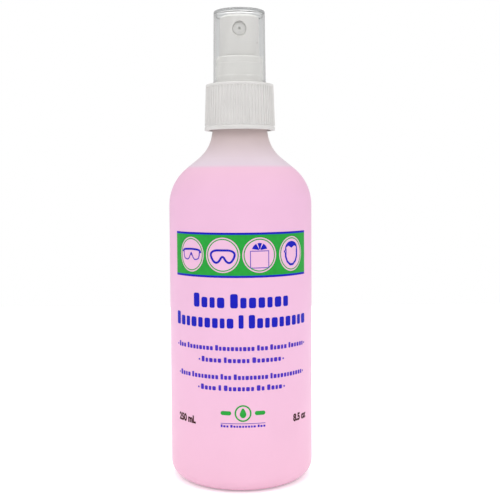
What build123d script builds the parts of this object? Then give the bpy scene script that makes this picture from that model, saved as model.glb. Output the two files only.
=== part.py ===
from build123d import *
import os
from math import atan, degrees, radians, sqrt, tan

# Lens cleaning spray: a 250 mL round bottle with a 24-410 fine-mist finger sprayer.
# Millimetres. Z is the bottle's axis, Z = 0 is the table, and the nozzle points to -Y.

# ---- general ----
FINE_EDGE = 0.15         # roundings of moulded edges, from the crispest to the fullest
EDGE = 0.2
SOFT_EDGE = 0.3
BROAD_EDGE = 0.5
OVERLAP = 0.2            # how far solids that are joined sink into each other
CUT_PAST = 1.0           # how far a cutter runs past what it cuts
RUN_GAP = 0.05           # gap between neighbours that touch or slide

# ---- bottle ----
BODY_R = 27.3            # outside radius of the straight wall
BOTTLE_WALL = 0.9        # wall thickness
HEEL_R = 6.0             # rounding between the wall and the base
PUSH_UP = 1.6            # how far the base is dished
PUSH_UP_R = 13.5         # radius where the dish turns down to the standing ring
PUSH_UP_BLEND = 3.0
STANDING_R = 17.5        # inner radius of the ring that the bottle stands on
STANDING_EDGE = 0.6
FLOOR_WALL = 1.2         # thickness of the base
SHOULDER_Z = 104.3       # where the straight wall ends
SHOULDER_R = 17.9        # rounding at the top of the wall
SHOULDER_TURN = 50.8     # lean of the shoulder cone from vertical, degrees
NECK_CURVE_R = 14.2      # hollow rounding from the cone into the neck
NECK_R = 10.5            # neck and thread root radius
MOUTH_R = 8.3            # bore of the neck finish
MOUTH_STEP_Z = 134.9     # where the thick finish begins
MOUTH_STEP_H = 1.4       # height of the slope under it
FINISH_Z = 147.0         # top of the neck

# ---- screw thread of the neck and the closure ----
THREAD_PITCH = 3.175     # eight turns to the inch
THREAD_TURNS = 1.5
THREAD_DEPTH = 1.0
THREAD_ROOT_W = 1.6      # axial width at the root
THREAD_CREST_W = 0.7     # axial width at the crest
THREAD_SINK = 0.3        # how deep a thread is rooted in its wall
NECK_THREAD_Z = 138.4    # height of the neck thread's lower end

# ---- fluid ----
FILL_Z = 118.8
FLUID_PUMP_GAP = 0.3     # clearance round the pump and its tube
FLUID_TUBE_Z = 3.8       # lower end of the room left for the tube
AIR_SIZE = 60            # block that cuts the fluid off at its level

# ---- screw closure ----
CLOSURE_Z = 132.7
CLOSURE_TOP_Z = 150.2
CLOSURE_FOOT_R = 13.55
CLOSURE_HEAD_R = 12.93
CLOSURE_PLATE = 1.3      # thickness of the top plate
CLOSURE_HOLE_R = 7.3
CLOSURE_BORE_R = 11.9
CLOSURE_EDGE_R = 0.4     # rounding of the top edge
RIB_COUNT = 64
RIB_R = 0.32             # each rib is a half-round bar
RIB_ROOT = 0.3           # how far the rib roots lie inside the smooth bands
RIB_LOW_Z = 134.6
RIB_HIGH_Z = 149.2
FOOT_BEAD_H = 1.1        # height of the smooth bead round the lower edge
FOOT_BEAD_SLOPE = 0.4    # height of the slope from the bead to the rib roots
HEAD_SLOPE_LOW = 0.2     # how far the slope to the head band starts below the ribs' ends
HEAD_SLOPE_HIGH = 0.1    # and ends above them

# ---- pump housing ----
PLATE_GAP = 0.1          # running gap above and below the closure's top plate
FLANGE_R = 10.6
FLANGE_T = 1.0
GASKET_T = 0.75
GASKET_IN_R = 8.5
GASKET_R = 10.3
CUP_OUT_R = 6.9          # wide upper cup of the housing
CUP_IN_R = 5.3
CUP_LOW_Z = 140.5
CUP_EDGE = 0.8
CYLINDER_Z = 141.5       # mouth of the pump chamber
CYLINDER_OUT_R = 4.2
CYLINDER_R = 3.2
CYLINDER_LEAD = 0.5      # widening of the mouth, to lead the piston in
CYLINDER_LEAD_H = 0.8
SPRING_LEDGE_Z = 117.0
CAGE_R = 1.6             # cage of the inlet ball
CAGE_Z = 114.2
INLET_R = 0.8
SEAT_Z = CAGE_Z - (CAGE_R - INLET_R)
LUG_COUNT = 3            # lugs that keep the ball in its cage
LUG_LENGTH = 1.2
LUG_W = 0.6
LUG_H = 0.3
SOCKET_OUT_R = 2.9       # socket for the dip tube
SOCKET_R = 1.82
SOCKET_TOP_Z = 112.4
SOCKET_LOW_Z = 103.0
SOCKET_SLOPE = (0.6, 1.9)  # heights above the socket between which it widens to the cylinder
VENT_R = 0.4
VENT_Z = 142.6

# ---- collar ----
COLLAR_Z = CLOSURE_TOP_Z + PLATE_GAP
COLLAR_TOP_Z = 160.3
COLLAR_BAND_Z = 152.7    # top of the band that grips the overcap
COLLAR_BAND_R = 9.27
COLLAR_BAND_SLOPE = 0.6
COLLAR_R = 9.17
COLLAR_IN_R = 8.1
COLLAR_FLOOR = 1.2
COLLAR_LINE_Z = 157.6    # fine step round the collar
COLLAR_LINE_H = 0.15
COLLAR_HEAD_R = 9.08
SLEEVE_R = 5.25          # sleeve that plugs into the housing cup
SLEEVE_IN_R = 3.9
SLEEVE_LOW_Z = 143.5
GUIDE_T = 3.0
GUIDE_R = 2.15           # hole that guides the stem

# ---- stem, piston, springs, ball, tube ----
STEM_R = 2.0
STEM_BORE_R = 0.8
STEM_LOW_Z = 128.25
STEM_TOP_Z = 169.0
STEM_FLANGE_R = 2.9
STEM_FLANGE_Z = 142.4
STEM_FLANGE_T = 1.0
PORT_R = 0.4
PORT_Z = 132.2
SEAT_CUP_R = 2.7         # moulded cup pressed on the stem's lower end
SEAT_CUP_IN_R = 2.02
SEAT_CUP_Z = 127.0
SEAT_CUP_TOP_Z = 131.3
SEAT_NOSE_R = 1.6
SEAT_NOSE_Z = 125.5
PISTON_Z = 131.4
PISTON_TOP_Z = 138.4
PISTON_LIP_R = 3.15
PISTON_LIP_H = 0.9
PISTON_LIP_LEAD = 0.5
PISTON_WAIST_R = 2.75
PISTON_BORE_R = 2.05
PISTON_WELL_R = 2.45     # wider bore over the stem's ports
PISTON_WELL_TOP_Z = 133.2
RETURN_WIRE_R = 0.225
RETURN_MEAN_R = 2.3
RETURN_TURNS = 8
PISTON_WIRE_R = 0.15
PISTON_MEAN_R = 2.5
PISTON_SPRING_TURNS = 3
BALL_R = 1.2
BALL_GAP = 0.04
TUBE_R = 1.8
TUBE_BORE_R = 1.2
TUBE_LOW_Z = 5.0
TUBE_TOP_Z = 112.3
TUBE_CUT = 30.0          # slant of the tube's lower end, degrees
TUBE_CUTTER = 20

# ---- actuator and nozzle ----
ACTUATOR_R = 7.75        # outside radius at the foot
ACTUATOR_TOP_R = 7.45    # and at the top: the shell has draft
ACTUATOR_Z = 158.5
ACTUATOR_TOP_Z = 175.8
ACTUATOR_WALL = 1.0
ACTUATOR_ROOF_Z = 174.2
ACTUATOR_BEVEL = 0.7
ACTUATOR_EDGE = 0.4
FINGER_DISH_R = 22.0     # radius of the hollow for the fingertip
FINGER_DISH_DEPTH = 0.6
BOSS_R = 3.2             # boss that takes the stem
BOSS_Z = 160.0
STEM_FIT_GAP = 0.03
CHANNEL_R = 0.9
CHANNEL_TOP_Z = 173.4
WEB_T = 0.8
WEB_Z = 164.0
NOZZLE_Z = 170.3
BARREL_R = 3.3           # solid round the nozzle bore
NOZZLE_BORE_R = 2.25
NOZZLE_BORE_Y = -3.6     # inner end of the bore
COUNTERBORE_R = 2.5
COUNTERBORE_Y = -6.6
NOZZLE_LIP_R = 3.1       # the recess widens to this at the surface
NOZZLE_LIP_T = 0.85      # over this depth
POST_R = 1.35
POST_Y = -5.7
FEED_R = 0.4             # cross hole from the channel to the nozzle bore
INSERT_R = 2.24
INSERT_Y = -6.85         # face of the nozzle insert
INSERT_FACE_T = 0.8
INSERT_BACK_Y = -4.4
INSERT_WALL = 0.5
ORIFICE_R = 0.2
ORIFICE_CONE_R = 0.75
ORIFICE_CONE_T = 0.45

# ---- overcap ----
CAP_Z = 150.4
CAP_TOP_Z = 178.1
CAP_R = 10.0             # outside radius at the mouth
CAP_TOP_R = 9.73         # and at the top: the wall has draft
CAP_IN_R = 9.36          # inside radius over the collar
CAP_TOP_IN_R = 9.13
CAP_FIT_Z = 162.0        # where the inside begins to narrow
CAP_TOP_T = 1.2
CAP_EDGE_R = 0.5
CAP_TOP_RISE = 0.25      # how far the top is crowned
CAP_STEP = 0.22          # thicker ring under the ceiling
CAP_STEP_H = 0.8
CAP_RIM_R = 10.22        # slight bead round the mouth
CAP_RIM_H = 0.9

# ---- heights that follow from the above ----
HALF_TURN = radians(SHOULDER_TURN / 2)
CONE_FOOT_Z = SHOULDER_Z + SHOULDER_R * tan(HALF_TURN)
CONE_TOP_Z = CONE_FOOT_Z + (BODY_R - NECK_R) / tan(radians(SHOULDER_TURN))
FLANGE_TOP_Z = CLOSURE_TOP_Z - CLOSURE_PLATE - PLATE_GAP
FLANGE_Z = FLANGE_TOP_Z - FLANGE_T
UPWARDS = (Align.CENTER, Align.CENTER, Align.MIN)
DOWNWARDS = (Align.CENTER, Align.CENTER, Align.MAX)


def turned(*corners):
    """Solid turned about Z from (radius, height) or (radius, height, rounding) corners."""
    points = [corner[:2] for corner in corners]
    rounding = [corner[2] if len(corner) > 2 else 0 for corner in corners]
    outline = FilletPolyline(*points, radius=rounding, close=True)
    return revolve(Plane.XZ * make_face(outline), Axis.Z)


def tube(inner_r, outer_r, low, high):
    """Plain ring or tube about Z."""
    return turned((inner_r, low), (outer_r, low), (outer_r, high), (inner_r, high))


def rod(radius, low, high):
    """Plain cylinder about Z."""
    return Pos(0, 0, low) * Cylinder(radius, high - low, align=UPWARDS)


def rod_y(radius, y_from, y_to, height):
    """Cylinder along Y at a height above the table."""
    length = abs(y_to - y_from)
    return Pos(0, (y_from + y_to) / 2, height) * Rot(90, 0, 0) * Cylinder(radius, length)


def round_z(shape, count):
    """Copies of a shape spaced evenly about Z."""
    return [Rot(0, 0, step * 360 / count) * shape for step in range(count)]


def thread(root_r, crest_r, low):
    """Right-hand helical thread, from root_r to crest_r, rooted THREAD_SINK in its wall."""
    side = 1 if crest_r > root_r else -1
    root = root_r - side * THREAD_SINK
    flank = (THREAD_ROOT_W - THREAD_CREST_W) / abs(crest_r - root_r)
    root_w = THREAD_CREST_W + flank * abs(crest_r - root)
    section = Polyline(
        (root, low - root_w / 2),
        (crest_r, low - THREAD_CREST_W / 2),
        (crest_r, low + THREAD_CREST_W / 2),
        (root, low + root_w / 2),
        close=True,
    )
    path = Pos(0, 0, low) * Helix(THREAD_PITCH, THREAD_PITCH * THREAD_TURNS, root_r)
    return sweep(Plane.XZ * make_face(section), path=path, is_frenet=True)


def coil(wire_r, mean_r, turns, low, high):
    """Compression spring whose wire fills the height between two faces, clear of both."""
    start_z = low + RUN_GAP + wire_r
    rise = high - RUN_GAP - wire_r - start_z
    path = Pos(0, 0, start_z) * Helix(rise / turns, rise, mean_r)
    start = Plane(origin=path @ 0, z_dir=path % 0)
    return sweep(start * Circle(wire_r), path=path, is_frenet=True)


def shoulder(inset):
    """Wall and neck corners of the bottle's shoulder, moved inwards by inset."""
    drop = inset * tan(HALF_TURN)
    return (
        (BODY_R - inset, CONE_FOOT_Z - drop, SHOULDER_R - inset),
        (NECK_R - inset, CONE_TOP_Z - drop, NECK_CURVE_R + inset),
    )


def base_inside(inset, rise):
    """Corners of the dished base from the axis out to the wall, moved inwards."""
    return (
        (0, PUSH_UP + rise),
        (PUSH_UP_R + BROAD_EDGE, PUSH_UP + rise, PUSH_UP_BLEND),
        (STANDING_R + inset, rise, STANDING_EDGE),
        (BODY_R - inset, rise, HEEL_R - inset),
    )


def bottle_body():
    """Blow-moulded bottle with a dished base and a threaded neck."""
    shell = turned(
        (0, PUSH_UP),
        (PUSH_UP_R, PUSH_UP, PUSH_UP_BLEND),
        (STANDING_R, 0, STANDING_EDGE),
        (BODY_R, 0, HEEL_R),
        *shoulder(0),
        (NECK_R, FINISH_Z, SOFT_EDGE),
        (MOUTH_R, FINISH_Z, SOFT_EDGE),
        (MOUTH_R, MOUTH_STEP_Z),
        (NECK_R - BOTTLE_WALL, MOUTH_STEP_Z - MOUTH_STEP_H),
        *reversed(shoulder(BOTTLE_WALL)),
        *reversed(base_inside(BOTTLE_WALL, FLOOR_WALL)),
    )
    return shell + thread(NECK_R, NECK_R + THREAD_DEPTH, NECK_THREAD_Z)


def cleaning_fluid():
    """Body of fluid, clear of the bottle wall and with room for the pump and its tube."""
    inset = BOTTLE_WALL + RUN_GAP
    cavity = turned(
        *base_inside(inset, FLOOR_WALL + RUN_GAP),
        *shoulder(inset),
        (NECK_R - inset, MOUTH_STEP_Z - MOUTH_STEP_H),
        (0, MOUTH_STEP_Z - MOUTH_STEP_H),
    )
    air = Pos(0, 0, FILL_Z) * Box(AIR_SIZE, AIR_SIZE, AIR_SIZE, align=UPWARDS)
    socket_low = SOCKET_LOW_Z - FLUID_PUMP_GAP
    socket_high = SOCKET_TOP_Z + FLUID_PUMP_GAP
    pump = rod(TUBE_R + FLUID_PUMP_GAP, FLUID_TUBE_Z, SOCKET_LOW_Z)
    pump += rod(SOCKET_OUT_R + FLUID_PUMP_GAP, socket_low, socket_high)
    pump += rod(CYLINDER_OUT_R + FLUID_PUMP_GAP, socket_high - RUN_GAP, FILL_Z + CUT_PAST)
    return cavity - air - pump


def closure_radius(height):
    """Outside radius of the closure's smooth bands at a height."""
    share = (height - CLOSURE_Z) / (CLOSURE_TOP_Z - CLOSURE_Z)
    return CLOSURE_FOOT_R + share * (CLOSURE_HEAD_R - CLOSURE_FOOT_R)


def screw_closure():
    """Ribbed screw cap with a hole in its top plate for the pump."""
    bead_z = CLOSURE_Z + FOOT_BEAD_H
    root_z = bead_z + FOOT_BEAD_SLOPE
    plate_z = CLOSURE_TOP_Z - CLOSURE_PLATE
    shell = turned(
        (CLOSURE_BORE_R, CLOSURE_Z),
        (CLOSURE_FOOT_R, CLOSURE_Z, EDGE),
        (closure_radius(bead_z), bead_z, SOFT_EDGE),
        (closure_radius(root_z) - RIB_ROOT, root_z),
        (closure_radius(RIB_HIGH_Z) - RIB_ROOT, RIB_HIGH_Z - HEAD_SLOPE_LOW),
        (closure_radius(RIB_HIGH_Z), RIB_HIGH_Z + HEAD_SLOPE_HIGH),
        (CLOSURE_HEAD_R, CLOSURE_TOP_Z, CLOSURE_EDGE_R),
        (CLOSURE_HOLE_R, CLOSURE_TOP_Z, EDGE),
        (CLOSURE_HOLE_R, plate_z),
        (CLOSURE_BORE_R, plate_z),
    )
    draft = degrees(atan((CLOSURE_FOOT_R - CLOSURE_HEAD_R) / (CLOSURE_TOP_Z - CLOSURE_Z)))
    rib_mid = (RIB_LOW_Z + RIB_HIGH_Z) / 2
    rib_reach = closure_radius(rib_mid) - RIB_R
    rib = Pos(rib_reach, 0, rib_mid) * Rot(0, -draft, 0) * Cylinder(RIB_R, RIB_HIGH_Z - RIB_LOW_Z)
    inner_thread = thread(CLOSURE_BORE_R, CLOSURE_BORE_R - THREAD_DEPTH, NECK_THREAD_Z - THREAD_PITCH / 2)
    return shell + round_z(rib, RIB_COUNT) + inner_thread


def pump_housing():
    """Cup, flange, pump cylinder, ball cage and dip tube socket in one moulding."""
    slope_low, slope_high = SOCKET_SLOPE
    shell = turned(
        (INLET_R, SOCKET_TOP_Z),
        (SOCKET_R, SOCKET_TOP_Z),
        (SOCKET_R, SOCKET_LOW_Z, FINE_EDGE),
        (SOCKET_OUT_R, SOCKET_LOW_Z, SOFT_EDGE),
        (SOCKET_OUT_R, SOCKET_TOP_Z + slope_low),
        (CYLINDER_OUT_R, SOCKET_TOP_Z + slope_high),
        (CYLINDER_OUT_R, CUP_LOW_Z, BROAD_EDGE),
        (CUP_OUT_R, CUP_LOW_Z, CUP_EDGE),
        (CUP_OUT_R, FLANGE_Z),
        (FLANGE_R, FLANGE_Z),
        (FLANGE_R, FLANGE_TOP_Z, EDGE),
        (CUP_OUT_R, FLANGE_TOP_Z),
        (CUP_OUT_R, CLOSURE_TOP_Z, EDGE),
        (CUP_IN_R, CLOSURE_TOP_Z),
        (CUP_IN_R, CYLINDER_Z),
        (CYLINDER_R + CYLINDER_LEAD, CYLINDER_Z),
        (CYLINDER_R, CYLINDER_Z - CYLINDER_LEAD_H),
        (CYLINDER_R, SPRING_LEDGE_Z),
        (CAGE_R, SPRING_LEDGE_Z),
        (CAGE_R, CAGE_Z),
        (INLET_R, SEAT_Z),
    )
    lug = Pos(CAGE_R, 0, SPRING_LEDGE_Z - LUG_H / 2) * Box(LUG_LENGTH, LUG_W, LUG_H)
    vent = rod_y(VENT_R, CUP_IN_R - CUT_PAST, CUP_OUT_R + CUT_PAST, VENT_Z)
    return shell + round_z(lug, LUG_COUNT) - vent


def neck_gasket():
    """Foam ring between the housing flange and the bottle finish."""
    return tube(GASKET_IN_R, GASKET_R, FLANGE_Z - GASKET_T, FLANGE_Z)


def collar():
    """Round shroud over the closure, with the sleeve that holds the stem and guides it."""
    floor_top = COLLAR_Z + COLLAR_FLOOR
    guide_top = SLEEVE_LOW_Z + GUIDE_T
    return turned(
        (GUIDE_R, SLEEVE_LOW_Z, EDGE),
        (SLEEVE_R, SLEEVE_LOW_Z, SOFT_EDGE),
        (SLEEVE_R, COLLAR_Z),
        (COLLAR_BAND_R, COLLAR_Z, EDGE),
        (COLLAR_BAND_R, COLLAR_BAND_Z, FINE_EDGE),
        (COLLAR_R, COLLAR_BAND_Z + COLLAR_BAND_SLOPE),
        (COLLAR_R, COLLAR_LINE_Z),
        (COLLAR_HEAD_R, COLLAR_LINE_Z + COLLAR_LINE_H),
        (COLLAR_HEAD_R, COLLAR_TOP_Z, BROAD_EDGE),
        (COLLAR_IN_R, COLLAR_TOP_Z, SOFT_EDGE),
        (COLLAR_IN_R, floor_top, SOFT_EDGE),
        (SLEEVE_IN_R, floor_top, EDGE),
        (SLEEVE_IN_R, guide_top, SOFT_EDGE),
        (GUIDE_R, guide_top, SOFT_EDGE),
    )


def stem():
    """Hollow stem with a stop flange and two cross ports."""
    body = tube(STEM_BORE_R, STEM_R, STEM_LOW_Z, STEM_TOP_Z)
    body += tube(STEM_R - OVERLAP, STEM_FLANGE_R, STEM_FLANGE_Z, STEM_FLANGE_Z + STEM_FLANGE_T)
    return body - rod_y(PORT_R, -STEM_R - CUT_PAST, STEM_R + CUT_PAST, PORT_Z)


def stem_seat():
    """Cup on the end of the stem: closes the ports and bears on the return spring."""
    floor_top = STEM_LOW_Z - RUN_GAP
    return turned(
        (0, SEAT_NOSE_Z),
        (SEAT_NOSE_R, SEAT_NOSE_Z, SOFT_EDGE),
        (SEAT_NOSE_R, SEAT_CUP_Z, EDGE),
        (SEAT_CUP_R, SEAT_CUP_Z, SOFT_EDGE),
        (SEAT_CUP_R, SEAT_CUP_TOP_Z),
        (SEAT_CUP_IN_R, SEAT_CUP_TOP_Z),
        (SEAT_CUP_IN_R, floor_top),
        (0, floor_top),
    )


def piston():
    """Sliding seal with an upper and a lower lip."""
    return turned(
        (PISTON_WELL_R, PISTON_Z),
        (SEAT_CUP_R, PISTON_Z),
        (PISTON_LIP_R, PISTON_Z + PISTON_LIP_LEAD),
        (PISTON_LIP_R, PISTON_Z + PISTON_LIP_H),
        (PISTON_WAIST_R, PISTON_Z + 2 * PISTON_LIP_H, SOFT_EDGE),
        (PISTON_WAIST_R, PISTON_TOP_Z - 2 * PISTON_LIP_H, SOFT_EDGE),
        (PISTON_LIP_R, PISTON_TOP_Z - PISTON_LIP_H),
        (PISTON_LIP_R, PISTON_TOP_Z),
        (PISTON_BORE_R, PISTON_TOP_Z),
        (PISTON_BORE_R, PISTON_WELL_TOP_Z + SOFT_EDGE),
        (PISTON_WELL_R, PISTON_WELL_TOP_Z),
    )


def return_spring():
    """Main spring, from the ledge over the ball cage to the stem seat."""
    return coil(RETURN_WIRE_R, RETURN_MEAN_R, RETURN_TURNS, SPRING_LEDGE_Z, SEAT_CUP_Z)


def piston_spring():
    """Light spring that holds the piston down over the ports."""
    return coil(PISTON_WIRE_R, PISTON_MEAN_R, PISTON_SPRING_TURNS, PISTON_TOP_Z, STEM_FLANGE_Z)


def inlet_ball():
    """Check ball resting on the 45 degree seat of its cage."""
    centre = SEAT_Z - INLET_R + BALL_R * sqrt(2) + BALL_GAP
    return Pos(0, 0, centre) * Sphere(BALL_R)


def dip_tube():
    """Feed tube from the pump to the base, cut on a slant at the bottom."""
    full = tube(TUBE_BORE_R, TUBE_R, TUBE_LOW_Z, TUBE_TOP_Z)
    slant = Pos(0, -TUBE_R, TUBE_LOW_Z) * Rot(TUBE_CUT, 0, 0)
    return full - slant * Box(TUBE_CUTTER, TUBE_CUTTER, TUBE_CUTTER, align=DOWNWARDS)


def actuator():
    """Finger button: hollow shell, stem boss, webs and the barrel round the nozzle bore."""
    outside = turned(
        (0, ACTUATOR_Z),
        (ACTUATOR_R, ACTUATOR_Z, EDGE),
        (ACTUATOR_TOP_R, ACTUATOR_TOP_Z - ACTUATOR_BEVEL, ACTUATOR_EDGE),
        (ACTUATOR_TOP_R - ACTUATOR_BEVEL, ACTUATOR_TOP_Z, SOFT_EDGE),
        (0, ACTUATOR_TOP_Z),
    )
    shell = outside - rod(ACTUATOR_R - ACTUATOR_WALL, ACTUATOR_Z - CUT_PAST, ACTUATOR_ROOF_Z)
    web_length = 2 * ACTUATOR_R - ACTUATOR_WALL
    web = Pos(0, 0, WEB_Z) * Box(web_length, WEB_T, ACTUATOR_ROOF_Z - WEB_Z, align=UPWARDS)
    boss = rod(BOSS_R, BOSS_Z, ACTUATOR_ROOF_Z + OVERLAP)
    barrel = rod_y(BARREL_R, 0, -ACTUATOR_R, NOZZLE_Z) & outside
    solid = shell + boss + web + Rot(0, 0, 90) * web + barrel
    dish_z = ACTUATOR_TOP_Z - FINGER_DISH_DEPTH + FINGER_DISH_R
    bore_front = -ACTUATOR_R - CUT_PAST
    solid -= Pos(0, 0, dish_z) * Sphere(FINGER_DISH_R)
    solid -= rod_y(COUNTERBORE_R, COUNTERBORE_Y, bore_front, NOZZLE_Z)
    lip = Cone(COUNTERBORE_R, NOZZLE_LIP_R, NOZZLE_LIP_T, align=DOWNWARDS)
    solid -= Pos(0, -ACTUATOR_R, NOZZLE_Z) * Rot(90, 0, 0) * lip
    solid -= rod_y(NOZZLE_BORE_R, NOZZLE_BORE_Y, bore_front, NOZZLE_Z)
    solid += rod_y(POST_R, NOZZLE_BORE_Y + OVERLAP, POST_Y, NOZZLE_Z)
    solid -= rod(STEM_R + STEM_FIT_GAP, BOSS_Z - CUT_PAST, STEM_TOP_Z + RUN_GAP)
    solid -= rod(CHANNEL_R, STEM_TOP_Z, CHANNEL_TOP_Z)
    feed_z = NOZZLE_Z + (POST_R + NOZZLE_BORE_R) / 2
    return solid - rod_y(FEED_R, 0, NOZZLE_BORE_Y - OVERLAP, feed_z)


def nozzle_insert():
    """Cup with the spray orifice, pressed over the post in the nozzle bore."""
    cup = rod_y(INSERT_R, INSERT_BACK_Y, INSERT_Y, NOZZLE_Z)
    cup -= rod_y(INSERT_R - INSERT_WALL, INSERT_BACK_Y + CUT_PAST, INSERT_Y + INSERT_FACE_T, NOZZLE_Z)
    cup -= rod_y(ORIFICE_R, INSERT_BACK_Y, INSERT_Y - CUT_PAST, NOZZLE_Z)
    cone = Cone(ORIFICE_R, ORIFICE_CONE_R, ORIFICE_CONE_T, align=DOWNWARDS)
    return cup - Pos(0, INSERT_Y, NOZZLE_Z) * Rot(90, 0, 0) * cone


def overcap():
    """Clear dust cap that pushes over the collar."""
    ceiling_z = CAP_TOP_Z - CAP_TOP_T
    return turned(
        (CAP_IN_R, CAP_Z, FINE_EDGE),
        (CAP_RIM_R, CAP_Z, FINE_EDGE),
        (CAP_RIM_R, CAP_Z + CAP_RIM_H / 2, FINE_EDGE),
        (CAP_R, CAP_Z + CAP_RIM_H),
        (CAP_TOP_R, CAP_TOP_Z - CAP_TOP_RISE, CAP_EDGE_R),
        (0, CAP_TOP_Z),
        (0, ceiling_z),
        (CAP_TOP_IN_R - CAP_STEP, ceiling_z, SOFT_EDGE),
        (CAP_TOP_IN_R - CAP_STEP, ceiling_z - CAP_STEP_H),
        (CAP_TOP_IN_R, ceiling_z - CAP_STEP_H - CAP_STEP),
        (CAP_IN_R, CAP_FIT_Z),
    )


PARTS = (
    bottle_body, cleaning_fluid, screw_closure, pump_housing, neck_gasket, collar, stem, stem_seat,
    piston, piston_spring, return_spring, inlet_ball, dip_tube, actuator, nozzle_insert, overcap,
)

os.makedirs("parts", exist_ok=True)
for make_part in PARTS:
    export_step(make_part(), "parts/" + make_part.__name__ + ".step")
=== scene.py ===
from math import cos, pi, radians, sin

import bmesh
import bpy
from mathutils import Matrix, Vector
from mathutils.bvhtree import BVHTree

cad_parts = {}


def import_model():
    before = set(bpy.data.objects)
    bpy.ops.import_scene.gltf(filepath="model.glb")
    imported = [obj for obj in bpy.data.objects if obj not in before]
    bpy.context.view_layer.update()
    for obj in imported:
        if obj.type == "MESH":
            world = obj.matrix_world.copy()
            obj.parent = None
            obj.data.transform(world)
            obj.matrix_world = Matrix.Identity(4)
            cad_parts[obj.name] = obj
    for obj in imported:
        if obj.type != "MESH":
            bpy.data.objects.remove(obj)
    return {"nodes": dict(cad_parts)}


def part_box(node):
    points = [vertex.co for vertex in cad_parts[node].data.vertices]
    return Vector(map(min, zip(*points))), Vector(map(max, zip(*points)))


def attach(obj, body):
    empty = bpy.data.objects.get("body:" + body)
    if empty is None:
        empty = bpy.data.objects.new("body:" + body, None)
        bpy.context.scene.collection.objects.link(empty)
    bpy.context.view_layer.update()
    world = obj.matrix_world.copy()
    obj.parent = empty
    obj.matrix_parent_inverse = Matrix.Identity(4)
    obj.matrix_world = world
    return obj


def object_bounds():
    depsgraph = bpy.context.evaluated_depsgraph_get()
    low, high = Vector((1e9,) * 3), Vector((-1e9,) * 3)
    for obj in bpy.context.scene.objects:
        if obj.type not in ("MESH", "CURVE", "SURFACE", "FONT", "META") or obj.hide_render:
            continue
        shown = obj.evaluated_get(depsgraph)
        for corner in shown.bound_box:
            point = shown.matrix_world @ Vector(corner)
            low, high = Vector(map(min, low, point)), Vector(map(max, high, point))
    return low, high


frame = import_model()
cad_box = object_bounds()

# Lens cleaning spray. The row frame is in metres, Z up, with the printed front and the nozzle towards -Y.
# Camera, lamps and floor are in metres too; the other sizes are in millimetres. The printing is drawn flat,
# as on the unrolled wall: each point has its distance across from the middle, and its height.
MM = 0.001

# ---- camera ----
LENS_MM = 63.8
SENSOR_MM = 36
CAMERA_DISTANCE = 0.3419
EYE_HEIGHT = 0.1141        # level with the bottle's shoulder
LOOK_DOWN = 3.28           # degrees
CAMERA_ROLL = 0.36         # degrees, clockwise seen from behind the camera
SHIFT_X = 0.019
SHIFT_Y = -0.04

# ---- studio light ----
TENT_SIDE = 0.62           # brightness of the tent at eye level
TENT_TOP = 1.55            # and overhead
TENT_RISE = (0.3, 0.9)     # heights, as sines, between which it brightens
KEY_PLACE = (0.66, -0.55, 0.75)    # the right front lamp; the left one mirrors it
KEY_SIZE = 0.5
KEY_W = 1.8                # each of the two
TOP_PLACE = (0, 0.1, 1.1)
TOP_SIZE = 0.8
TOP_W = 1.5
FLOOR_HALF = 0.45          # a wider floor fills the clear cap with white
FLOOR_PAINT = (0.93, 0.93, 0.93)
FLOOR_GLOW = 0.18          # the floor is a lit white table

# ---- surfaces ----
NOISE_LOW, NOISE_HIGH = 0.3, 0.7   # nearly all of a noise texture's values lie between these
GLOSS_SPREAD = 0.15        # how far a moulding's roughness varies, as a share of it

# ---- wall colours ----
WALL_LOW = (0.83, 0.50, 0.64)      # at the base
WALL_WET = (0.82, 0.50, 0.69)      # over most of the fluid
WALL_LINE = (0.75, 0.46, 0.60)     # just under the level
WALL_DRY = (0.66, 0.555, 0.63)     # just above it
WALL_NECK_PAINTED_SHADE = (0.655, 0.535, 0.525)  # under the closure, with the closure's shade painted in as darker, redder colour
LINE_DEPTH = 12.0          # how far the deeper pink reaches below the level
LEVEL_BLEND = 0.004        # half the colour step at the level, as a share of the way from base to neck
NECK_Z = 131.0             # where the wall is darkest: painted shade under the closure
LOW_Z = 60.0               # the base colour has faded out by this height
WALL_ROUGH = 0.38
WALL_GLOSS_SPREAD = 0.05
WALL_CLOUDS = 0.05         # how strongly clouds darken the wall

# ---- mould parting line ----
PARTING_LOW, PARTING_HIGH = 2.2, 132.0
PARTING_STEP = 0.8         # between its points up the wall
PARTING_W = 0.5
PARTING_RISE = 0.07        # above the wall, and as deep below it

# ---- printing ----
WALL_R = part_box("bottle_body")[1][0] / MM
INK_T = 0.02               # thickness of the ink layer
INK_LIFT = 0.02            # height of its middle above the wall
BEND_STEP = 1.0            # widest facet of a printed shape
WELD = 1e-4                # points closer than this are one
CORNER_CUT = 0.25          # share of an edge that softening cuts off at each end
MITRE_LIMIT = 0.4          # smallest cosine that a corner's mitre is worked out with
PRINT_HALF = 28.4          # half width of the printed field
BAND_LOW, BAND_HIGH = 78.9, 95.1
BAND_LINE = 0.8
BADGE_R = 6.35             # window in the band
BADGE_RING = (5.5, 5.88)
BADGE_ANGLES = (-41.2, -13.8, 14.5, 42.6)
BADGE_WIDTHS = (0.9, 1.0, 1.0, 0.9)
TITLE_ROWS = (
    # baseline, height, half width, blocks in each word
    (68.0, 3.8, 18.5, (4, 7)),
    (60.7, 3.6, 28.4, (9, 1, 9)),
)
SMALL_ROWS = (
    (52.55, 1.5, 28.2, (3, 8, 10, 3, 5, 6)),
    (48.2, 1.5, 16.5, (5, 6, 7)),
    (42.1, 1.5, 27.2, (4, 8, 3, 9, 11)),
    (38.0, 1.5, 16.9, (4, 1, 7, 2, 4)),
)
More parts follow.
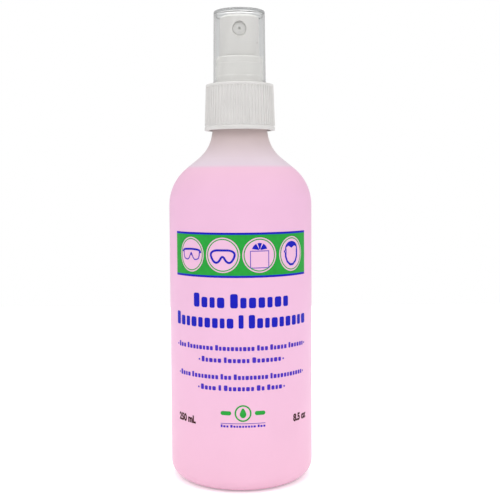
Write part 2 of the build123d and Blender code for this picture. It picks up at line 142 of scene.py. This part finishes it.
# Widths along a row are shares of one unit, which makes the row as long as it should be.
BLOCK_WIDTHS = (1.0, 0.82, 1.12, 0.9, 1.05)
BLOCK_GAP, WORD_GAP = 0.36, 0.85
BLOCK_CORNER = 0.28        # corner radius against a block's smaller side
CAPITAL = 1.35             # height of the first block in a word against the others
BULLET_ROOM = 1.1          # in units, at each end of a row with bullets
BULLET_R = 0.36
BULLET_INSET = 0.35        # of a bullet's middle from the end of its row
SIGN_LINE = 0.72           # bold lines of the signs
GOGGLES_LINE = 0.76
LENS_LINE = 0.4
SHEET_LINE = 0.26
MARK_CENTRE = (0.5, 29.9)  # the mark's parts below are measured from here
MARK_RING = (3.05, 2.5)    # outer and inner radius
MARK_BAR = (4.3, 8.2)      # where each bar begins and ends
MARK_BAR_HALF_H = 0.75
MARK_BAR_CORNER = 0.7
MARK_LINE = (-3.85, -3.65)         # low and high edge
MARK_ROW = (-5.2, 0.75, 8.2, (3, 9, 3))    # as the rows above
VOLUME_Z = 24.9
VOLUME_H = 2.7
VOLUME_BOLD = 0.055        # swells the strokes, as a share of the font's size
VOLUMES = (
    # piece, text, half width, middle
    ("print_millilitres", "250 mL", 4.75, -22.9),
    ("print_ounces", "8.5 oz", 4.1, 25.0),
)


# ======================================================================= materials
def new_material(name, colour, roughness, **sockets):
    """A Principled material with plain values on its sockets."""
    mat = bpy.data.materials.new(name)
    mat.use_nodes = True
    shader = mat.node_tree.nodes["Principled BSDF"]
    shader.inputs["Base Color"].default_value = (*colour, 1)
    shader.inputs["Roughness"].default_value = roughness
    for socket, value in sockets.items():
        shader.inputs[socket.replace("_", " ")].default_value = value
    return mat, mat.node_tree, shader


def noise(tree, size_mm, detail=2.0, stretch=(1, 1, 1)):
    """Noise in the row frame whose features are about size_mm across."""
    coords = tree.nodes.new("ShaderNodeTexCoord")
    mapping = tree.nodes.new("ShaderNodeMapping")
    mapping.inputs["Scale"].default_value = stretch
    texture = tree.nodes.new("ShaderNodeTexNoise")
    texture.inputs["Scale"].default_value = 1 / (size_mm * MM)
    texture.inputs["Detail"].default_value = detail
    tree.links.new(coords.outputs["Object"], mapping.inputs["Vector"])
    tree.links.new(mapping.outputs["Vector"], texture.inputs["Vector"])
    return texture.outputs["Fac"]


def between(tree, factor, low, high):
    """A number from low to high as factor goes over the middle of the noise."""
    node = tree.nodes.new("ShaderNodeMapRange")
    node.inputs["From Min"].default_value = NOISE_LOW
    node.inputs["From Max"].default_value = NOISE_HIGH
    node.inputs["To Min"].default_value = low
    node.inputs["To Max"].default_value = high
    tree.links.new(factor, node.inputs["Value"])
    return node.outputs["Result"]


def mottle(tree, shader, factor, colour, spread):
    """Varies the base colour by spread, lighter and darker, with factor."""
    ramp = tree.nodes.new("ShaderNodeValToRGB")
    low, high = ramp.color_ramp.elements
    low.position, high.position = NOISE_LOW, NOISE_HIGH
    low.color = (*(c * (1 - spread) for c in colour), 1)
    high.color = (*(min(c * (1 + spread), 1) for c in colour), 1)
    tree.links.new(factor, ramp.inputs["Fac"])
    tree.links.new(ramp.outputs["Color"], shader.inputs["Base Color"])


def relief(tree, shader, factor, height_mm):
    """Bump of a given height from factor."""
    bump = tree.nodes.new("ShaderNodeBump")
    bump.inputs["Distance"].default_value = height_mm * MM
    bump.inputs["Strength"].default_value = 1.0
    tree.links.new(factor, bump.inputs["Height"])
    tree.links.new(bump.outputs["Normal"], shader.inputs["Normal"])


def moulded(name, colour, roughness, spread=0.03, cloud_mm=6, grain_mm=0.35, grain_h=0.004, **sockets):
    """Moulded plastic: faint flow clouds in the colour, uneven gloss and a fine surface grain."""
    mat, tree, shader = new_material(name, colour, roughness, **sockets)
    mottle(tree, shader, noise(tree, cloud_mm, 3), colour, spread)
    smooth, dull = roughness * (1 - GLOSS_SPREAD), roughness * (1 + GLOSS_SPREAD)
    gloss = between(tree, noise(tree, cloud_mm / 3, 3), smooth, dull)
    tree.links.new(gloss, shader.inputs["Roughness"])
    relief(tree, shader, noise(tree, grain_mm, 3), grain_h)
    return mat


def ink(name, colour):
    """Screen-printed ink: slightly uneven cover and a soft gloss."""
    return moulded(
        name, colour, 0.42, spread=0.08, cloud_mm=1.6, grain_mm=0.12, grain_h=0.003,
        Specular_IOR_Level=0.15,
    )


def lets_light_in(mat):
    """Lets lamps light what the clear wall holds, as if it cast no shadow."""
    tree = mat.node_tree
    shader, output = tree.nodes["Principled BSDF"], tree.nodes["Material Output"]
    path = tree.nodes.new("ShaderNodeLightPath")
    clear = tree.nodes.new("ShaderNodeBsdfTransparent")
    mix = tree.nodes.new("ShaderNodeMixShader")
    tree.links.new(path.outputs["Is Shadow Ray"], mix.inputs["Fac"])
    tree.links.new(shader.outputs["BSDF"], mix.inputs[1])
    tree.links.new(clear.outputs["BSDF"], mix.inputs[2])
    tree.links.new(mix.outputs["Shader"], output.inputs["Surface"])


def absorbs(mat, colour, density):
    """Makes light fade, by density per metre, so that a cap's thick edges look greyer than its wall."""
    tree = mat.node_tree
    volume = tree.nodes.new("ShaderNodeVolumeAbsorption")
    volume.inputs["Color"].default_value = (*colour, 1)
    volume.inputs["Density"].default_value = density
    tree.links.new(volume.outputs["Volume"], tree.nodes["Material Output"].inputs["Volume"])


def milky_polyethylene():
    """Translucent wall: tinted by the fluid up to its level, greyer over the air above it, and with painted
    shade, darker and redder, under the closure.
    """
    mat, tree, shader = new_material(
        "milky_polyethylene", WALL_WET, WALL_ROUGH,
        Transmission_Weight=0.1, IOR=1.45, Specular_IOR_Level=0.06,
    )
    (_, _, low), (_, _, top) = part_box("cleaning_fluid")
    high = NECK_Z * MM
    level = (top - low) / (high - low)
    line = LINE_DEPTH * MM / (high - low)
    stops = (
        ((LOW_Z * MM - low) / (high - low), WALL_WET),
        (level - line, WALL_WET),
        (level - LEVEL_BLEND, WALL_LINE),
        (level + LEVEL_BLEND, WALL_DRY),
    )
    coords = tree.nodes.new("ShaderNodeTexCoord")
    split = tree.nodes.new("ShaderNodeSeparateXYZ")
    height = tree.nodes.new("ShaderNodeMapRange")
    height.inputs["From Min"].default_value = low
    height.inputs["From Max"].default_value = high
    ramp = tree.nodes.new("ShaderNodeValToRGB")
    first, last = ramp.color_ramp.elements
    # the last stop is the neck's colour with the closure's shade painted in
    first.color, last.color = (*WALL_LOW, 1), (*WALL_NECK_PAINTED_SHADE, 1)
    for place, colour in stops:
        ramp.color_ramp.elements.new(place).color = (*colour, 1)
    clouds = tree.nodes.new("ShaderNodeMix")
    clouds.data_type, clouds.blend_type = "RGBA", "MULTIPLY"
    clouds.inputs["Factor"].default_value = WALL_CLOUDS
    tree.links.new(coords.outputs["Object"], split.inputs["Vector"])
    tree.links.new(split.outputs["Z"], height.inputs["Value"])
    tree.links.new(height.outputs["Result"], ramp.inputs["Fac"])
    tree.links.new(ramp.outputs["Color"], clouds.inputs["A"])
    tree.links.new(noise(tree, 14, 3), clouds.inputs["B"])
    tree.links.new(clouds.outputs["Result"], shader.inputs["Base Color"])
    smooth, dull = WALL_ROUGH - WALL_GLOSS_SPREAD, WALL_ROUGH + WALL_GLOSS_SPREAD
    tree.links.new(between(tree, noise(tree, 5, 3), smooth, dull), shader.inputs["Roughness"])
    relief(tree, shader, noise(tree, 1.1, 3), 0.012)
    return mat


def spring_steel():
    """Drawn stainless wire with fine marks along it."""
    steel = (0.62, 0.62, 0.63)
    mat, tree, shader = new_material("drawn_steel", steel, 0.28, Metallic=1.0)
    marks = noise(tree, 0.25, 4, stretch=(1, 1, 6))
    mottle(tree, shader, marks, steel, 0.12)
    tree.links.new(between(tree, marks, 0.2, 0.36), shader.inputs["Roughness"])
    return mat


def clear_styrene():
    """Clear moulded cap: smooth, with faint flow lines down its wall."""
    mat, tree, shader = new_material(
        "clear_styrene", (0.99, 0.995, 0.995), 0.03,
        Transmission_Weight=1.0, IOR=1.5,
    )
    flow = noise(tree, 3.0, stretch=(1, 1, 0.15))
    tree.links.new(between(tree, flow, 0.02, 0.06), shader.inputs["Roughness"])
    relief(tree, shader, flow, 0.004)
    lets_light_in(mat)
    absorbs(mat, colour=(0.5, 0.51, 0.52), density=42)
    return mat


def ball_glass():
    """Polished green-tinged glass."""
    green = (0.86, 0.94, 0.9)
    mat, tree, shader = new_material("ball_glass", green, 0.02, Transmission_Weight=1.0, IOR=1.52)
    mottle(tree, shader, noise(tree, 0.8), green, 0.03)
    return mat


MATERIALS = {
    "bottle_body": milky_polyethylene(),
    "cleaning_fluid": moulded(
        "pink_fluid", (0.97, 0.40, 0.70), 0.12, spread=0.01, cloud_mm=20, grain_mm=8, grain_h=0.001,
        Subsurface_Weight=0.3, Subsurface_Scale=4 * MM,
    ),
    "screw_closure": moulded("closure_polypropylene", (0.62, 0.607, 0.595), 0.36),
    # collar and actuator are the closure's white plastic, painted lighter to make up for the shade of the
    # clear cap over them
    "collar": moulded("collar_polypropylene_painted_lighter", (0.735, 0.72, 0.695), 0.24, cloud_mm=14, grain_h=0.002),
    "actuator": moulded("actuator_polypropylene_painted_lighter", (0.66, 0.645, 0.625), 0.32, cloud_mm=14, grain_h=0.002),
    "nozzle_insert": moulded("nozzle_acetal", (0.60, 0.59, 0.57), 0.34, cloud_mm=2),
    "pump_housing": moulded("natural_polypropylene", (0.66, 0.67, 0.66), 0.34),
    "neck_gasket": moulded(
        "foam_gasket", (0.78, 0.78, 0.75), 0.85, spread=0.06, cloud_mm=0.8, grain_mm=0.18, grain_h=0.03,
    ),
    "stem": moulded("stem_acetal", (0.72, 0.72, 0.70), 0.3, cloud_mm=3),
    "stem_seat": moulded("seat_polyethylene", (0.70, 0.71, 0.72), 0.4, cloud_mm=2),
    "piston": moulded("piston_polyethylene", (0.66, 0.68, 0.70), 0.42, cloud_mm=2),
    "dip_tube": moulded("tube_polyethylene", (0.78, 0.78, 0.77), 0.4, Transmission_Weight=0.5),
    "overcap": clear_styrene(),
    "inlet_ball": ball_glass(),
}
MATERIALS["return_spring"] = MATERIALS["piston_spring"] = spring_steel()

for node, mat in MATERIALS.items():
    mesh = frame["nodes"][node].data
    mesh.materials.clear()
    mesh.materials.append(mat)

GREEN_INK = ink("green_ink", (0.016, 0.30, 0.036))
BLUE_INK = ink("blue_ink", (0.004, 0.006, 0.40))
VIOLET_INK = ink("violet_ink", (0.055, 0.02, 0.42))
MAROON_INK = ink("maroon_ink", (0.045, 0.006, 0.009))


# ======================================================================= mould parting line
def parting_line(side):
    """Fine raised line that a two-part mould leaves up one side of the bottle."""
    shape = bmesh.new()
    shape.from_mesh(frame["nodes"]["bottle_body"].data)
    wall = BVHTree.FromBMesh(shape)
    shape.free()
    outline = []
    for i in range(int((PARTING_HIGH - PARTING_LOW) / PARTING_STEP) + 1):
        height = (PARTING_LOW + i * PARTING_STEP) * MM
        outside = Vector((side * 2 * WALL_R * MM, 0, height))
        place, normal, _, _ = wall.ray_cast(outside, Vector((-side, 0, 0)))
        outline.append((place, normal))
    ridge = bmesh.new()
    rows = []
    for place, normal in outline:
        foot, crest = place - normal * PARTING_RISE * MM, place + normal * PARTING_RISE * MM
        half = Vector((0, PARTING_W / 2 * MM, 0))
        rows.append([ridge.verts.new(point) for point in (foot - half, crest, foot + half)])
    for low, high in zip(rows, rows[1:]):
        for i in range(len(low)):
            ridge.faces.new((low[i], low[i - 1], high[i - 1], high[i]))
    ridge.faces.new(rows[0])
    ridge.faces.new(rows[-1])
    bmesh.ops.recalc_face_normals(ridge, faces=ridge.faces)
    name = "parting_line_right" if side > 0 else "parting_line_left"
    mesh = bpy.data.meshes.new(name)
    ridge.to_mesh(mesh)
    ridge.free()
    mesh.materials.append(MATERIALS["bottle_body"])
    piece = bpy.data.objects.new(name, mesh)
    bpy.context.scene.collection.objects.link(piece)
    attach(piece, "bottle")


for side in (-1, 1):
    parting_line(side)


# ======================================================================= printing
def circle(centre, radius, steps=64, wide=1.0):
    """Points round a circle, or round an oval that is wide times as broad as it is tall."""
    turns = [2 * pi * i / steps for i in range(steps)]
    return [(centre[0] + wide * radius * cos(a), centre[1] + radius * sin(a)) for a in turns]


def arc(centre, half_wide, half_tall, start, end, steps):
    """Points along part of an oval, between two angles in degrees."""
    angles = [radians(start + (end - start) * i / steps) for i in range(steps + 1)]
    return [(centre[0] + half_wide * cos(a), centre[1] + half_tall * sin(a)) for a in angles]


def block(left, low, right, high, corner=0.0):
    """Rectangle, with rounded corners if corner is their radius."""
    if corner == 0:
        return [(left, low), (right, low), (right, high), (left, high)]
    points = []
    for x, z, start in ((right, high, 0), (left, high, 90), (left, low, 180), (right, low, 270)):
        cx = x - corner if x == right else x + corner
        cz = z - corner if z == high else z + corner
        points += arc((cx, cz), corner, corner, start, start + 90, 4)
    return points


def softened(points, closed, passes=2):
    """Rounds the corners of a path by cutting them again and again."""
    for _ in range(passes):
        pairs = list(zip(points, points[1:] + points[:1] if closed else points[1:]))
        cut = []
        for (ax, az), (bx, bz) in pairs:
            for share in (CORNER_CUT, 1 - CORNER_CUT):
                cut.append((ax * (1 - share) + bx * share, az * (1 - share) + bz * share))
        if not closed:
            cut = [points[0]] + cut[1:-1] + [points[-1]]
        points = cut
    return points


def moved_aside(points, distance, closed):
    """The path moved sideways by distance, with mitred corners."""
    result, count = [], len(points)
    for i, point in enumerate(points):
        before = points[i - 1] if closed or i else point
        after = points[(i + 1) % count] if closed or i < count - 1 else point
        ways = []
        for a, b in ((before, point), (point, after)):
            step = Vector((b[0] - a[0], b[1] - a[1]))
            if step.length > 0:
                ways.append(Vector((-step.y, step.x)).normalized())
        normal = sum(ways, Vector((0, 0))).normalized()
        reach = distance / max(normal.dot(ways[0]), MITRE_LIMIT)
        result.append((point[0] + normal.x * reach, point[1] + normal.y * reach))
    return result


def line_loops(points, width, closed=False, passes=2):
    """Closed outlines of a drawn line."""
    path = softened(points, closed, passes) if passes else points
    one, other = moved_aside(path, width / 2, closed), moved_aside(path, -width / 2, closed)
    return [one, other] if closed else [one + other[::-1]]


def mirrored(half):
    """Closed outline from one half of it, whose first and last points lie on the middle."""
    return half + [(-x, z) for x, z in half[-2:0:-1]]


def placed(loops, centre):
    """The loops moved to a centre."""
    return [[(x + centre[0], z + centre[1]) for x, z in loop] for loop in loops]


def as_mesh(name, data):
    """Flat mesh of a filled curve or of text."""
    probe = bpy.data.objects.new(name, data)
    mesh = bpy.data.meshes.new_from_object(probe)
    bpy.data.objects.remove(probe)
    return mesh


def filled(name, loops):
    """Flat mesh inside closed outlines; an outline inside another is a hole."""
    data = bpy.data.curves.new(name, "CURVE")
    data.dimensions, data.fill_mode = "2D", "BOTH"
    data.extrude = INK_T / 2
    for loop in loops:
        spline = data.splines.new("POLY")
        spline.points.add(len(loop) - 1)
        for point, (x, z) in zip(spline.points, loop):
            point.co = (x, z, 0, 1)
        spline.use_cyclic_u = True
    return as_mesh(name, data)


def figures(name, text, height, half_width, centre_x, low_z):
    """Flat mesh of plain figures in the built-in font, fitted to a height and a width."""
    data = bpy.data.curves.new(name, "FONT")
    data.body, data.align_x = text, "CENTER"
    data.extrude = INK_T / 2
    data.offset = VOLUME_BOLD
    mesh = as_mesh(name, data)
    xs = [v.co.x for v in mesh.vertices]
    tall = max(v.co.y for v in mesh.vertices)
    wide = 2 * half_width / (max(xs) - min(xs))
    mesh.transform(Matrix.Diagonal((wide, height / tall, 1, 1)))
    mesh.transform(Matrix.Translation((centre_x, low_z, 0)))
    return mesh


def wrapped(name, flat, colour):
    """Bends a flat mesh round the bottle's wall, inks it and lets it ride on the bottle."""
    shape = bmesh.new()
    shape.from_mesh(flat)
    bmesh.ops.remove_doubles(shape, verts=shape.verts, dist=WELD)
    steps = int(PRINT_HALF / BEND_STEP) + 2
    for i in range(-steps, steps + 1):
        everything = shape.verts[:] + shape.edges[:] + shape.faces[:]
        bmesh.ops.bisect_plane(shape, geom=everything, plane_co=(i * BEND_STEP, 0, 0), plane_no=(1, 0, 0))
    for vert in shape.verts:
        across, height, depth = vert.co
        radius = WALL_R + INK_LIFT + depth
        angle = across / WALL_R
        vert.co = Vector((radius * sin(angle), -radius * cos(angle), height)) * MM
    bmesh.ops.recalc_face_normals(shape, faces=shape.faces)
    mesh = bpy.data.meshes.new(name)
    shape.to_mesh(mesh)
    shape.free()
    mesh.materials.append(colour)
    piece = bpy.data.objects.new(name, mesh)
    bpy.context.scene.collection.objects.link(piece)
    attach(piece, "bottle")


def printed(name, loops, colour):
    """A piece of printing on the bottle from its flat outlines."""
    wrapped(name, filled(name, loops), colour)


def word_blocks(baseline, height, half_width, words, bullets=False):
    """A row of rounded blocks, grouped like words, between two bullets or on its own."""
    sizes = [[BLOCK_WIDTHS[(i + count) % len(BLOCK_WIDTHS)] for i in range(count)] for count in words]
    ends = BULLET_ROOM if bullets else 0
    total = sum(sum(word) + BLOCK_GAP * (len(word) - 1) for word in sizes)
    total += WORD_GAP * (len(words) - 1) + 2 * ends
    unit = 2 * half_width / total
    loops, at = [], -half_width + ends * unit
    for word in sizes:
        for i, size in enumerate(word):
            width, top = size * unit, baseline + height * (1 if i else CAPITAL)
            loops.append(block(at, baseline, at + width, top, min(height, width) * BLOCK_CORNER))
            at += width + BLOCK_GAP * unit
        at += (WORD_GAP - BLOCK_GAP) * unit
    if bullets:
        middle, reach = baseline + height / 2, half_width - BULLET_INSET
        loops += [circle((side * reach, middle), BULLET_R, steps=16) for side in (-1, 1)]
    return loops


def print_band():
    """Green band with a blue line along each edge and four round windows, each with a thin ring."""
    middle = (BAND_LOW + BAND_HIGH) / 2
    centres = [(radians(a) * WALL_R, middle) for a in BADGE_ANGLES]
    loops = [block(-PRINT_HALF, BAND_LOW + BAND_LINE, PRINT_HALF, BAND_HIGH - BAND_LINE)]
    loops += [circle(c, BADGE_R, wide=w) for c, w in zip(centres, BADGE_WIDTHS)]
    printed("print_band", loops, GREEN_INK)
    rings = [circle(c, r, wide=w) for c, w in zip(centres, BADGE_WIDTHS) for r in BADGE_RING]
    printed("print_badge_rings", rings, GREEN_INK)
    lines = [
        block(-PRINT_HALF, BAND_LOW, PRINT_HALF, BAND_LOW + BAND_LINE),
        block(-PRINT_HALF, BAND_HIGH - BAND_LINE, PRINT_HALF, BAND_HIGH),
    ]
    printed("print_band_lines", lines, BLUE_INK)
    return centres


def spectacles():
    """Spectacles seen from the front: a brow bar and two thin lenses."""
    brow = line_loops([(-4.4, 0.9), (-3.9, 1.75), (0, 2.0), (3.9, 1.75), (4.4, 0.6)], SIGN_LINE)
    side = [(-3.9, 1.5), (-3.7, -1.1), (-2.9, -1.75), (-1.3, -1.9), (-0.1, 0.6)]
    rim = side + [(-x, z) for x, z in side[::-1]]
    return brow, line_loops(rim, LENS_LINE, passes=1)


def goggles():
    """Goggles seen from the front: one bold frame with a nose notch."""
    half = [(0, 1.75), (3.3, 1.75), (4.8, 0.3), (3.2, -2.75), (1.5, -2.65), (0, 0.05)]
    return line_loops(mirrored(half), GOGGLES_LINE, closed=True)


def visor():
    """Face visor: a brow guard of three segments over a clear square sheet."""
    guard = []
    for start, end in ((10, 62), (73, 107), (118, 170)):
        outer = arc((0, 1.75), 2.8, 2.6, start, end, 8)
        inner = arc((0, 1.8), 0.45, 0.3, end, start, 1)
        guard.append(outer + inner)
    corners = [(-3.4, 1.45), (3.4, 1.45), (3.4, -4.6), (-3.4, -4.6)]
    sheet = line_loops(corners, SHEET_LINE, closed=True, passes=0)
    return guard, sheet


def hood():
    """Full hood: a crown over a long tapering face shield, with a hinge knob at its side."""
    crown = arc((0, 2.1), 3.0, 2.5, 0, 180, 12) + [(-1.5, 2.9), (0, 2.1), (1.5, 2.9)]
    shield = [(-2.8, 2.6), (-2.8, -2.2), (0, -4.5), (2.8, -2.2), (2.8, 2.6)]
    knob = circle((-3.2, 0.9), 0.45, steps=16)
    edge = [softened(loop, True, 1) for loop in line_loops(shield, SIGN_LINE, passes=0)]
    return [crown], edge + [knob]


def print_badges(centres):
    """Eye-protection signs inside the band's windows."""
    brow, rim = spectacles()
    guard, sheet = visor()
    crown, shield = hood()
    bold = placed(goggles(), centres[1]) + placed(guard, centres[2]) + placed(crown, centres[3])
    bold += placed(brow, centres[0])
    printed("print_signs_bold", bold, BLUE_INK)
    printed("print_sign_shield", placed(shield, centres[3]), BLUE_INK)
    fine = placed(rim, centres[0]) + placed(sheet, centres[2])
    printed("print_signs_fine", fine, VIOLET_INK)


def print_rows():
    """Title and small lines, as rows of blocks."""
    title = [loop for row in TITLE_ROWS for loop in word_blocks(*row)]
    printed("print_title", title, BLUE_INK)
    small = [loop for row in SMALL_ROWS for loop in word_blocks(*row, bullets=True)]
    printed("print_small_rows", small, VIOLET_INK)


def print_mark():
    """Plain mark low on the front: a drop in a ring between two bars, over a thin line."""
    drop = mirrored([(0, 2.3), (1.0, 0.5), (1.25, -0.5), (0.8, -1.45), (0, -1.75)])
    loops = [circle((0, 0), radius) for radius in MARK_RING] + [softened(drop, True, 3)]
    for side in (-1, 1):
        left, right = sorted(side * end for end in MARK_BAR)
        loops.append(block(left, -MARK_BAR_HALF_H, right, MARK_BAR_HALF_H, MARK_BAR_CORNER))
    printed("print_mark", placed(loops, MARK_CENTRE), GREEN_INK)
    foot = [block(-MARK_BAR[1], MARK_LINE[0], MARK_BAR[1], MARK_LINE[1])] + word_blocks(*MARK_ROW)
    printed("print_mark_foot", placed(foot, MARK_CENTRE), VIOLET_INK)


def print_volume():
    """Plain volume figures at the lower corners."""
    for name, text, half_width, centre_x in VOLUMES:
        wrapped(name, figures(name, text, VOLUME_H, half_width, centre_x, VOLUME_Z), MAROON_INK)


print_badges(print_band())
print_rows()
print_mark()
print_volume()


# ======================================================================= set, lights and camera
def floor():
    """Plain pale floor."""
    mesh = bpy.data.meshes.new("floor")
    corners = [(x * FLOOR_HALF, y * FLOOR_HALF, 0) for x, y in ((-1, -1), (1, -1), (1, 1), (-1, 1))]
    mesh.from_pydata(corners, [], [(0, 1, 2, 3)])
    mat, tree, shader = new_material(
        "floor_paint", FLOOR_PAINT, 0.7,
        Emission_Color=(1, 1, 1, 1), Emission_Strength=FLOOR_GLOW,
    )
    mottle(tree, shader, noise(tree, 60), FLOOR_PAINT, 0.01)
    mesh.materials.append(mat)
    plane = bpy.data.objects.new("floor", mesh)
    bpy.context.scene.collection.objects.link(plane)


def world():
    """Studio tent: grey at eye level and brighter overhead, but plain white where the camera sees it."""
    sky = bpy.data.worlds.new("studio")
    sky.use_nodes = True
    tree = sky.node_tree
    background = tree.nodes["Background"]
    coords = tree.nodes.new("ShaderNodeTexCoord")
    split = tree.nodes.new("ShaderNodeSeparateXYZ")
    height = tree.nodes.new("ShaderNodeMapRange")
    height.interpolation_type = "SMOOTHSTEP"
    height.inputs["From Min"].default_value, height.inputs["From Max"].default_value = TENT_RISE
    height.inputs["To Min"].default_value = TENT_SIDE
    height.inputs["To Max"].default_value = TENT_TOP
    seen = tree.nodes.new("ShaderNodeLightPath")
    white = tree.nodes.new("ShaderNodeMix")
    white.data_type = "FLOAT"
    white.inputs["B"].default_value = 1.0
    tree.links.new(coords.outputs["Generated"], split.inputs["Vector"])
    tree.links.new(split.outputs["Z"], height.inputs["Value"])
    tree.links.new(height.outputs["Result"], white.inputs["A"])
    tree.links.new(seen.outputs["Is Camera Ray"], white.inputs["Factor"])
    tree.links.new(white.outputs["Result"], background.inputs["Strength"])
    background.inputs["Color"].default_value = (1, 1, 1, 1)
    bpy.context.scene.world = sky


def softbox(name, place, target, size, power):
    """Square area light aimed at a point."""
    lamp = bpy.data.lights.new(name, "AREA")
    lamp.size, lamp.energy = size, power
    box = bpy.data.objects.new(name, lamp)
    box.location = place
    box.rotation_euler = (Vector(target) - Vector(place)).to_track_quat("-Z", "Y").to_euler()
    bpy.context.scene.collection.objects.link(box)


def camera():
    """Camera in front of the bottle, level with its shoulder and tilted slightly down."""
    lens = bpy.data.cameras.new("camera")
    lens.lens, lens.sensor_width = LENS_MM, SENSOR_MM
    lens.shift_x, lens.shift_y = SHIFT_X, SHIFT_Y
    eye = bpy.data.objects.new("camera", lens)
    turn = Matrix.Rotation(radians(90 - LOOK_DOWN), 4, "X") @ Matrix.Rotation(radians(-CAMERA_ROLL), 4, "Z")
    eye.matrix_world = Matrix.Translation((0, -CAMERA_DISTANCE, EYE_HEIGHT)) @ turn
    bpy.context.scene.collection.objects.link(eye)
    bpy.context.scene.camera = eye


floor()
world()
middle = (0, 0, (cad_box[0][2] + cad_box[1][2]) / 2)
for name, side in (("key_left", -1), ("key_right", 1)):
    softbox(name, (side * KEY_PLACE[0], *KEY_PLACE[1:]), middle, KEY_SIZE, KEY_W)
softbox("top", TOP_PLACE, middle, TOP_SIZE, TOP_W)
camera()
bpy.context.scene.view_settings.view_transform = "Standard"
